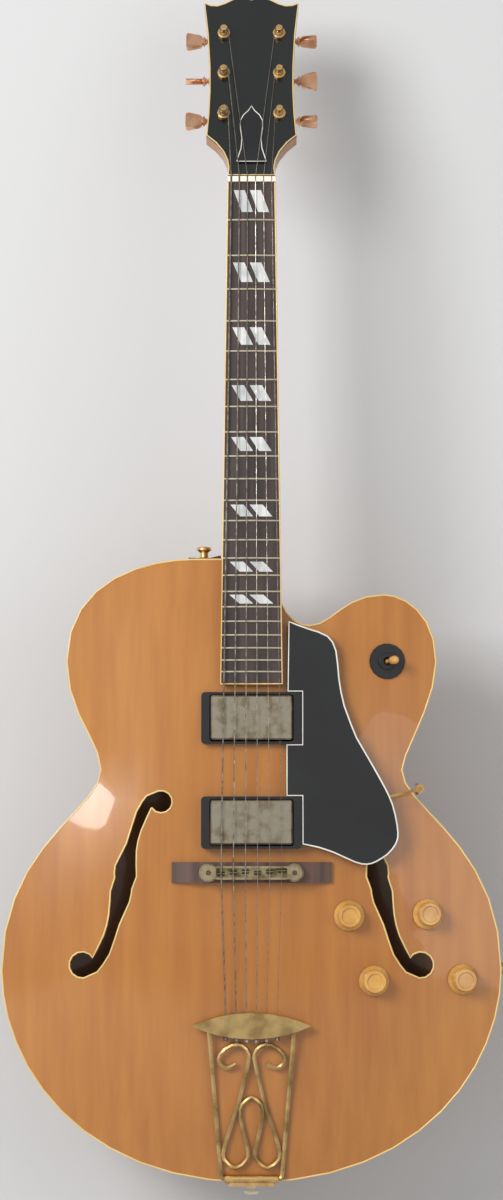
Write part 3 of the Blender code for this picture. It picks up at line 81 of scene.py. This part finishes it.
class Value:
    """A number that changes over a surface. Sums on it add their Math nodes to its finish."""

    def __init__(self, finish, socket):
        self.finish, self.socket = finish, socket

    def maths(self, operation, one, two=0.0):
        node = self.finish.node("ShaderNodeMath", {"operation": operation}, {0: one, 1: two})
        return Value(self.finish, node.outputs[0])

    def __add__(self, other):
        return self.maths("ADD", self, other)

    __radd__ = __add__

    def __sub__(self, other):
        return self.maths("SUBTRACT", self, other)

    def __rsub__(self, other):
        return self.maths("SUBTRACT", other, self)

    def __mul__(self, other):
        return self.maths("MULTIPLY", self, other)

    __rmul__ = __mul__

    def __lt__(self, other):
        return self.maths("LESS_THAN", self, other)

    def __gt__(self, other):
        return self.maths("GREATER_THAN", self, other)

    def __abs__(self):
        return self.maths("ABSOLUTE", self)


class Finish:
    """A Principled material built up from a few nodes."""

    def __init__(self, name, roughness, metallic=0.0, coat=0.0):
        self.made = bpy.data.materials.new(name)
        self.made.use_nodes = True
        self.shader = self.made.node_tree.nodes["Principled BSDF"]
        self.shader.inputs["Metallic"].default_value = metallic
        self.shader.inputs["Coat Weight"].default_value = coat
        self.shader.inputs["Roughness"].default_value = roughness
        self.place = self.node("ShaderNodeTexCoord").outputs["Object"]

    def node(self, kind, settings=None, sockets=None):
        """Adds a node, with its settings first and then its sockets' values or links."""
        made = self.made.node_tree.nodes.new(kind)
        for name, value in (settings or {}).items():
            if name == "stops":
                for stop, (at, colour) in zip(made.color_ramp.elements, value):
                    stop.position, stop.color = at, (*colour, 1)
            else:
                setattr(made, name, value)
        for key, value in (sockets or {}).items():
            self.feed(made.inputs[key], value)
        return made

    def feed(self, socket, value):
        if isinstance(value, Value):
            value = value.socket
        if isinstance(value, bpy.types.NodeSocket):
            self.made.node_tree.links.new(value, socket)
        else:
            socket.default_value = value

    def part(self, axis):
        """Where a point lies along one axis of the guitar's frame."""
        split = self.node("ShaderNodeSeparateXYZ", sockets={"Vector": self.place})
        return Value(self, split.outputs[axis])

    def noise(self, scale, stretch=(1, 1, 1), detail=4.0):
        spread = self.node("ShaderNodeMapping", sockets={"Vector": self.place, "Scale": stretch})
        pattern = {"Vector": spread.outputs[0], "Scale": scale, "Detail": detail}
        return self.node("ShaderNodeTexNoise", sockets=pattern).outputs[0]

    def shades(self, value, stops):
        """A colour for each value, from two stops."""
        return self.node("ShaderNodeValToRGB", {"stops": stops}, {"Fac": value}).outputs[0]

    def mix(self, share, one, two):
        made = self.node("ShaderNodeMix", {"data_type": "RGBA"}, {0: share, 6: one, 7: two})
        return made.outputs[2]

    def relief(self, value, strength, depth):
        bump = self.node(
            "ShaderNodeBump", sockets={"Height": value, "Strength": strength, "Distance": depth}
        )
        self.feed(self.shader.inputs["Normal"], bump.outputs[0])

    def colour(self, value):
        self.feed(self.shader.inputs["Base Color"], value)


def lacquered_maple(name, light, deep, edged=0.0):
    """Clear-coated maple. Edged is the depth from the body's middle, inside which it turns cream."""
    made = Finish(name, 0.28, coat=0.6)
    grain = made.noise(60, (1.6, 1.6, 0.12), 6)
    cloud = made.noise(5, (1.0, 1.0, 0.7), 2)
    colour = made.shades(grain, [(0.3, deep), (0.7, light)])
    colour = made.mix(0.4, colour, made.shades(cloud, [(0.35, deep), (0.65, light)]))
    if edged:
        side = abs(made.part("Y") - BODY.y) < edged
        colour = made.mix(side, colour, (*CREAM, 1))
    made.colour(colour)
    made.relief(grain, 0.05, 0.3 * MM)
    return made.made


def plated(name, bright, dull, roughness=0.3, scale=90):
    """Metal plate, duller and rougher in patches."""
    made = Finish(name, roughness, metallic=1.0)
    wear = made.noise(scale, detail=6)
    made.colour(made.shades(wear, [(0.38, dull), (0.62, bright)]))
    made.feed(
        made.shader.inputs["Roughness"],
        made.shades(wear, [(0.35, (roughness + 0.2,) * 3), (0.65, (roughness - 0.08,) * 3)]),
    )
    made.relief(made.noise(400), 0.06, 0.2 * MM)
    return made.made


def moulded(name, light, deep, roughness, scale=30, stretch=(1, 1, 1), coat=0.3, relief=0.04):
    made = Finish(name, roughness, coat=coat)
    pattern = made.noise(scale, stretch, 6)
    made.colour(made.shades(pattern, [(0.3, deep), (0.7, light)]))
    made.relief(made.noise(300, stretch), relief, 0.2 * MM)
    return made.made


def fretted_board():
    """Oiled rosewood, with bright metal wherever the surface stands in front of the board's crown."""
    made = Finish("fretted_rosewood", 0.42)
    grain = made.noise(90, (1.5, 1.5, 0.06), 6)
    wood = made.shades(grain, [(0.3, (0.022, 0.014, 0.013)), (0.7, (0.07, 0.045, 0.04))])
    behind = Vector((0, math.cos(NECK_ANGLE), -math.sin(NECK_ANGLE)))
    dot = {"operation": "DOT_PRODUCT"}
    depth = Value(
        made, made.node("ShaderNodeVectorMath", dot, {0: made.place, 1: behind}).outputs["Value"]
    )
    half_width, closeness = 25 * MM, 0.95
    slope = closeness * half_width / (2 * BOARD_RADIUS)  # a straight line a little in front of the crown
    clear_of_wood = 0.25 * MM
    metal = depth < abs(made.part("X")) * slope + (behind.dot(NECK.translation) - clear_of_wood)
    made.colour(made.mix(metal, wood, (0.5, 0.44, 0.33, 1)))
    made.feed(made.shader.inputs["Metallic"], metal)
    made.relief(grain, 0.2, 0.2 * MM)
    return made.made


AMBER = lacquered_maple(
    "amber_maple_face", (0.48, 0.195, 0.038), (0.36, 0.125, 0.02), EDGE_Y - 0.06 * MM
)
AMBER_SIDE = lacquered_maple("amber_maple_side", (0.55, 0.25, 0.06), (0.38, 0.14, 0.03))
NECK_WOOD = lacquered_maple("neck_maple_clear", (0.46, 0.2, 0.055), (0.32, 0.12, 0.03))
ROSEWOOD = moulded(
    "rosewood_oiled", (0.14, 0.07, 0.05), (0.05, 0.024, 0.018), 0.45, 90, (1.5, 1.5, 0.06), 0, 0.3
)
FRETTED = fretted_board()
HEAD_BLACK = moulded(
    "black_lacquer", (0.009, 0.011, 0.011), (0.005, 0.006, 0.006), 0.22, 6, coat=0.3
)
BLACK = moulded(
    "black_moulding", (0.01, 0.011, 0.012), (0.006, 0.006, 0.007), 0.34, 20, coat=0.1
)
BINDING = moulded("cream_binding", (0.82, 0.6, 0.25), (0.68, 0.46, 0.15), 0.35, 25)
WHITE = moulded("white_edging", (0.85, 0.84, 0.78), (0.7, 0.68, 0.6), 0.35, 25)
PEARL = moulded("pearl", (0.78, 0.78, 0.76), (0.42, 0.44, 0.45), 0.22, 140, (1, 1, 0.4), 0.6)
BONE = moulded("ivory_bone", (0.9, 0.86, 0.74), (0.78, 0.72, 0.58), 0.35, 60)
AMBER_PLASTIC = moulded("amber_plastic", (0.72, 0.4, 0.1), (0.45, 0.2, 0.04), 0.18, 40, coat=0.7)
GOLD = plated("gold_plate", (0.85, 0.56, 0.24), (0.5, 0.3, 0.11))
AGED_GOLD = plated("tailpiece_gold", (0.68, 0.47, 0.2), (0.3, 0.2, 0.08), 0.32, 60)
OLD_GOLD = plated("worn_gold", (0.5, 0.42, 0.26), (0.22, 0.17, 0.09), 0.36)
NICKEL = plated("tarnished_nickel", (0.4, 0.36, 0.28), (0.2, 0.165, 0.11), 0.36)
COPPER_GOLD = plated("rosy_gold_plate", (0.85, 0.5, 0.32), (0.55, 0.28, 0.15), 0.26)
STEEL = plated("string_steel", (0.36, 0.32, 0.27), (0.17, 0.14, 0.11), 0.3, 200)
LEATHER = moulded(
    "strap_leather", (0.12, 0.05, 0.035), (0.05, 0.02, 0.015), 0.6, 120, coat=0, relief=0.6
)

COATS = {
    AMBER: ("top_plate", "back_plate"),
    AMBER_SIDE: ("rim",),
    NECK_WOOD: ("neck",),
    FRETTED: ("fingerboard",),
    ROSEWOOD: ("bridge_base",),
    HEAD_BLACK: ("headstock_face",),
    BLACK: ("truss_cover", "pickguard", "pickup_ring", "switch_body"),
    STEEL: ("truss_rod", "string"),
    COPPER_GOLD: ("tuner_button",),
    GOLD: ("tuner_housing", "tuner_post", "tailpiece_hinge", "pickguard_bracket", "strap_button"),
    AGED_GOLD: ("tailpiece",),
    OLD_GOLD: ("bridge_body",),
    NICKEL: ("thumbwheel", "saddle", "pickup", "output_jack"),
    BONE: ("nut", "end_pin"),
    AMBER_PLASTIC: ("knob", "switch_lever"),
}
STARTS = {start: finish for finish, starts in COATS.items() for start in starts}


def coat_the_frame():
    """Each piece gets the finish of the longest start that fits its name, and smooth round sides."""
    for name, node in NODES.items():
        start = max((key for key in STARTS if name.startswith(key)), key=len)
        for slot in node.material_slots:
            slot.material = STARTS[start]
        weld = node.modifiers.new("weld", "WELD")
        weld.merge_threshold = MM / 500
        crease = node.modifiers.new("crease", "EDGE_SPLIT")
        crease.split_angle = math.radians(32)
        node.data.polygons.foreach_set("use_smooth", [True] * len(node.data.polygons))


def placed(name, data):
    piece = bpy.data.objects.new(name, data)
    bpy.context.scene.collection.objects.link(piece)
    return piece


def settle(piece, finish, body, smooth=True):
    """Makes a curve or mesh object a plain mesh in the guitar's own frame, and fixes it to its body."""
    bpy.context.view_layer.update()
    graph = bpy.context.evaluated_depsgraph_get()
    mesh = bpy.data.meshes.new_from_object(piece.evaluated_get(graph))
    mesh.name = piece.name + "_mesh"
    mesh.transform(piece.matrix_world)
    name = piece.name
    bpy.data.objects.remove(piece)
    made = placed(name, mesh)
    mesh.materials.clear()
    mesh.materials.append(finish)
    if smooth:
        mesh.shade_smooth()
    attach(made, body)
    return made


def wire(name, runs, radius, finish, body, closed=True):
    curve = bpy.data.curves.new(name, "CURVE")
    curve.dimensions = "3D"
    curve.bevel_depth = radius
    curve.bevel_resolution = 2
    curve.use_fill_caps = True
    for run in runs:
        spline = curve.splines.new("POLY")
        spline.points.add(len(run) - 1)
        for point, place in zip(spline.points, run):
            point.co = (*place, 1)
        spline.use_cyclic_u = closed
    return settle(placed(name, curve), finish, body)


def front_edges(node, radius):
    """The closed runs where a plate's front meets its walls, drawn in from the wall by the radius."""
    mesh = NODES[node].data
    micron = 1e6
    spots, sides = {}, {}
    same = [spots.setdefault(tuple(round(c * micron) for c in v.co), v.index) for v in mesh.vertices]
    for face in mesh.polygons:
        for a, b in face.edge_keys:
            sides.setdefault(tuple(sorted((same[a], same[b]))), []).append(face)
    links, away = {}, {}
    for (a, b), faces in sides.items():
        if len(faces) != 2:
            continue
        front = [f for f in faces if f.normal.y < -0.6]
        walls = [f for f in faces if abs(f.normal.y) < 0.5]
        if len(front) == 1 and len(walls) == 1:
            links.setdefault(a, []).append(b)
            links.setdefault(b, []).append(a)
            for end in (a, b):
                away[end] = away.get(end, Vector()) + walls[0].normal
    runs = []
    while links:
        here, run = next(iter(links)), []
        while here is not None:
            run.append(here)
            after = links.pop(here)
            here = next((i for i in after if i in links), None)
        if len(run) > 6:
            runs.append([mesh.vertices[i].co - away[i].normalized() * radius for i in run])
    return runs


def edge_with(name, node, radius, finish, least=0):
    """Edging along the front runs of a plate that have more points than the least."""
    runs = [run for run in front_edges(node, radius) if len(run) > least]
    wire(name, runs, radius, finish, "guitar")


def board_half(z):
    """Half the board's width at a distance z down from the nut (z is negative)."""
    return (BOARD_AT_NUT + BOARD_WIDENS * -z / BOARD_LENGTH) / 2


def fret_place(n):
    return -SCALE_LENGTH * (1 - 2 ** (-n / 12))


def inlay_board():
    """Two slanting pearl bars in each marked space."""
    points, faces = [], []
    bar, slant = 9.6 * MM, 7 * MM
    share_of_space = 0.58
    depths = (-0.12 * MM, 0.3 * MM)
    for n in INLAID_FRETS:
        high, low = fret_place(n - 1), fret_place(n)
        middle, tall = (high + low) / 2, share_of_space * (high - low)
        grow = board_half(middle) / board_half(0)
        for left in (-15.4 * MM, -1.4 * MM):
            corners = [(left, 0.5), (left + bar, 0.5), (left + bar + slant, -0.5), (left + slant, -0.5)]
            first = len(points)
            for sunk in depths:
                for x, up in corners:
                    x *= grow
                    crown = x * x / (2 * BOARD_RADIUS)
                    points.append(NECK @ Vector((x, crown + sunk, middle + up * tall)))
            faces += [[first + i for i in (0, 1, 2, 3)], [first + i for i in (7, 6, 5, 4)]]
            for i in range(4):
                j = (i + 1) % 4
                faces.append([first + j, first + i, first + 4 + i, first + 4 + j])
    mesh = bpy.data.meshes.new("pearl_inlays")
    mesh.from_pydata(points, [], faces)
    settle(placed("pearl_inlays", mesh), PEARL, "guitar", smooth=False)


def bind_board():
    """Cream binding down both edges of the fingerboard and across its end."""
    size = 0.75 * MM
    drop = 0.6 * MM
    ends = [(0, board_half(0)), (-BOARD_LENGTH, board_half(-BOARD_LENGTH))]
    run = [NECK @ Vector((-(half - size / 2), drop, z)) for z, half in ends]
    run += [NECK @ Vector((half - size / 2, drop, z)) for z, half in reversed(ends)]
    wire("board_binding", [run], size, BINDING, "guitar", closed=False)


def wrap_strings():
    """The last turns of each string round its post."""
    turns, steps = 3, 16
    height = 5.4 * MM
    for i, radius in enumerate(STRING_RADII, 1):
        joint = JOINTS[f"post_{i}_turn"]
        out = Vector(joint["axis"])
        middle = Vector(joint["pos_m"])
        across = out.cross(Vector((1, 0, 0))).normalized()
        up = out.cross(across)
        pitch = 2.1 * radius * MM
        run = []
        for k in range(turns * steps + 1):
            a = 2 * math.pi * k / steps
            round_post = (POST_RADIUS + radius) * MM * (math.cos(a) * across + math.sin(a) * up)
            run.append(middle + out * (height + pitch * k / steps) + round_post)
        wire(f"string_wrap_{i}", [run], radius * MM, STEEL, f"post_{i}", closed=False)


def leather_tab(name, run, width):
    """A strip of strap leather that lies on the body, along a run of x and z in mm from its foot."""
    points = [BODY + Vector((x, y, z)) * MM for x, z in run for y in (-width / 2, width / 2)]
    faces = [(2 * i, 2 * i + 1, 2 * i + 3, 2 * i + 2) for i in range(len(run) - 1)]
    mesh = bpy.data.meshes.new(name)
    mesh.from_pydata(points, [], faces)
    piece = placed(name, mesh)
    thick = piece.modifiers.new("thickness", "SOLIDIFY")
    thick.thickness = 3.4 * MM
    thick.offset = 1
    soft = piece.modifiers.new("round", "BEVEL")
    soft.width = 0.6 * MM
    soft.segments = 2
    return settle(piece, LEATHER, "guitar")


def stage_plane(name, corners):
    pale = 0.62
    mesh = bpy.data.meshes.new(name)
    mesh.from_pydata(corners, [], [(0, 1, 2, 3)])
    made = Finish(name, 0.9)
    made.colour((pale, pale, pale, 1))
    mesh.materials.append(made.made)
    piece = placed(name, mesh)


def set_stage(low, high):
    """A pale floor and backdrop, clear of the guitar on every side."""
    clear, wide = 0.09, 6
    back, floor = high[1] + clear, low[2] - clear
    wall = [(-wide, back, floor), (wide, back, floor), (wide, back, wide), (-wide, back, wide)]
    stage_plane("backdrop", wall)
    ground = [(-wide, -wide, floor), (wide, -wide, floor), (wide, back, floor), (-wide, back, floor)]
    stage_plane("floor", ground)


def light_stage(middle):
    """An even white room, a soft key light from the left and a weak fill from the right."""
    world = bpy.data.worlds.new("room")
    bpy.context.scene.world = world
    world.use_nodes = True
    room = world.node_tree.nodes["Background"]
    room.inputs["Color"].default_value = (1, 1, 1, 1)
    room.inputs["Strength"].default_value = 0.55
    lamps = (("key", (-1.6, -2.2, 0.9), 1.2, 62), ("fill", (1.8, -2.6, 0.2), 1.8, 14))
    for name, place, size, power in lamps:
        lamp = bpy.data.lights.new(name, "AREA")
        lamp.energy, lamp.size = power, size
        piece = placed(name, lamp)
        piece.location = middle + Vector(place)
        piece.rotation_euler = (middle - piece.location).to_track_quat("-Z", "Y").to_euler()


def set_camera():
    lens = bpy.data.cameras.new("photo_view")
    lens.sensor_fit, lens.sensor_height, lens.lens = "VERTICAL", SENSOR_HEIGHT, LENS
    camera = placed("photo_view", lens)
    camera.location = BODY + CAMERA_PLACE
    camera.rotation_euler = (math.radians(90 + CAMERA_UP), 0, 0)
    bpy.context.scene.camera = camera
    bpy.context.scene.view_settings.view_transform = "Standard"


coat_the_frame()
edge_with("body_binding", "top_plate", 0.8 * MM, BINDING)
edge_with("pickguard_edging", "pickguard", 0.7 * MM, WHITE)
edge_with("headstock_edging", "headstock_face", 0.6 * MM, BINDING, least=20)
edge_with("truss_cover_edging", "truss_cover", 0.45 * MM, WHITE)
inlay_board()
bind_board()
wrap_strings()
leather_tab("shoulder_leather", [(-55, 539.5), (-48, 539.2), (-36, 539.2), (-27, 541.5)], 24)
low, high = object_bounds()
set_stage(low, high)
light_stage(Vector((0, 0, (low[2] + high[2]) / 2)))
set_camera()
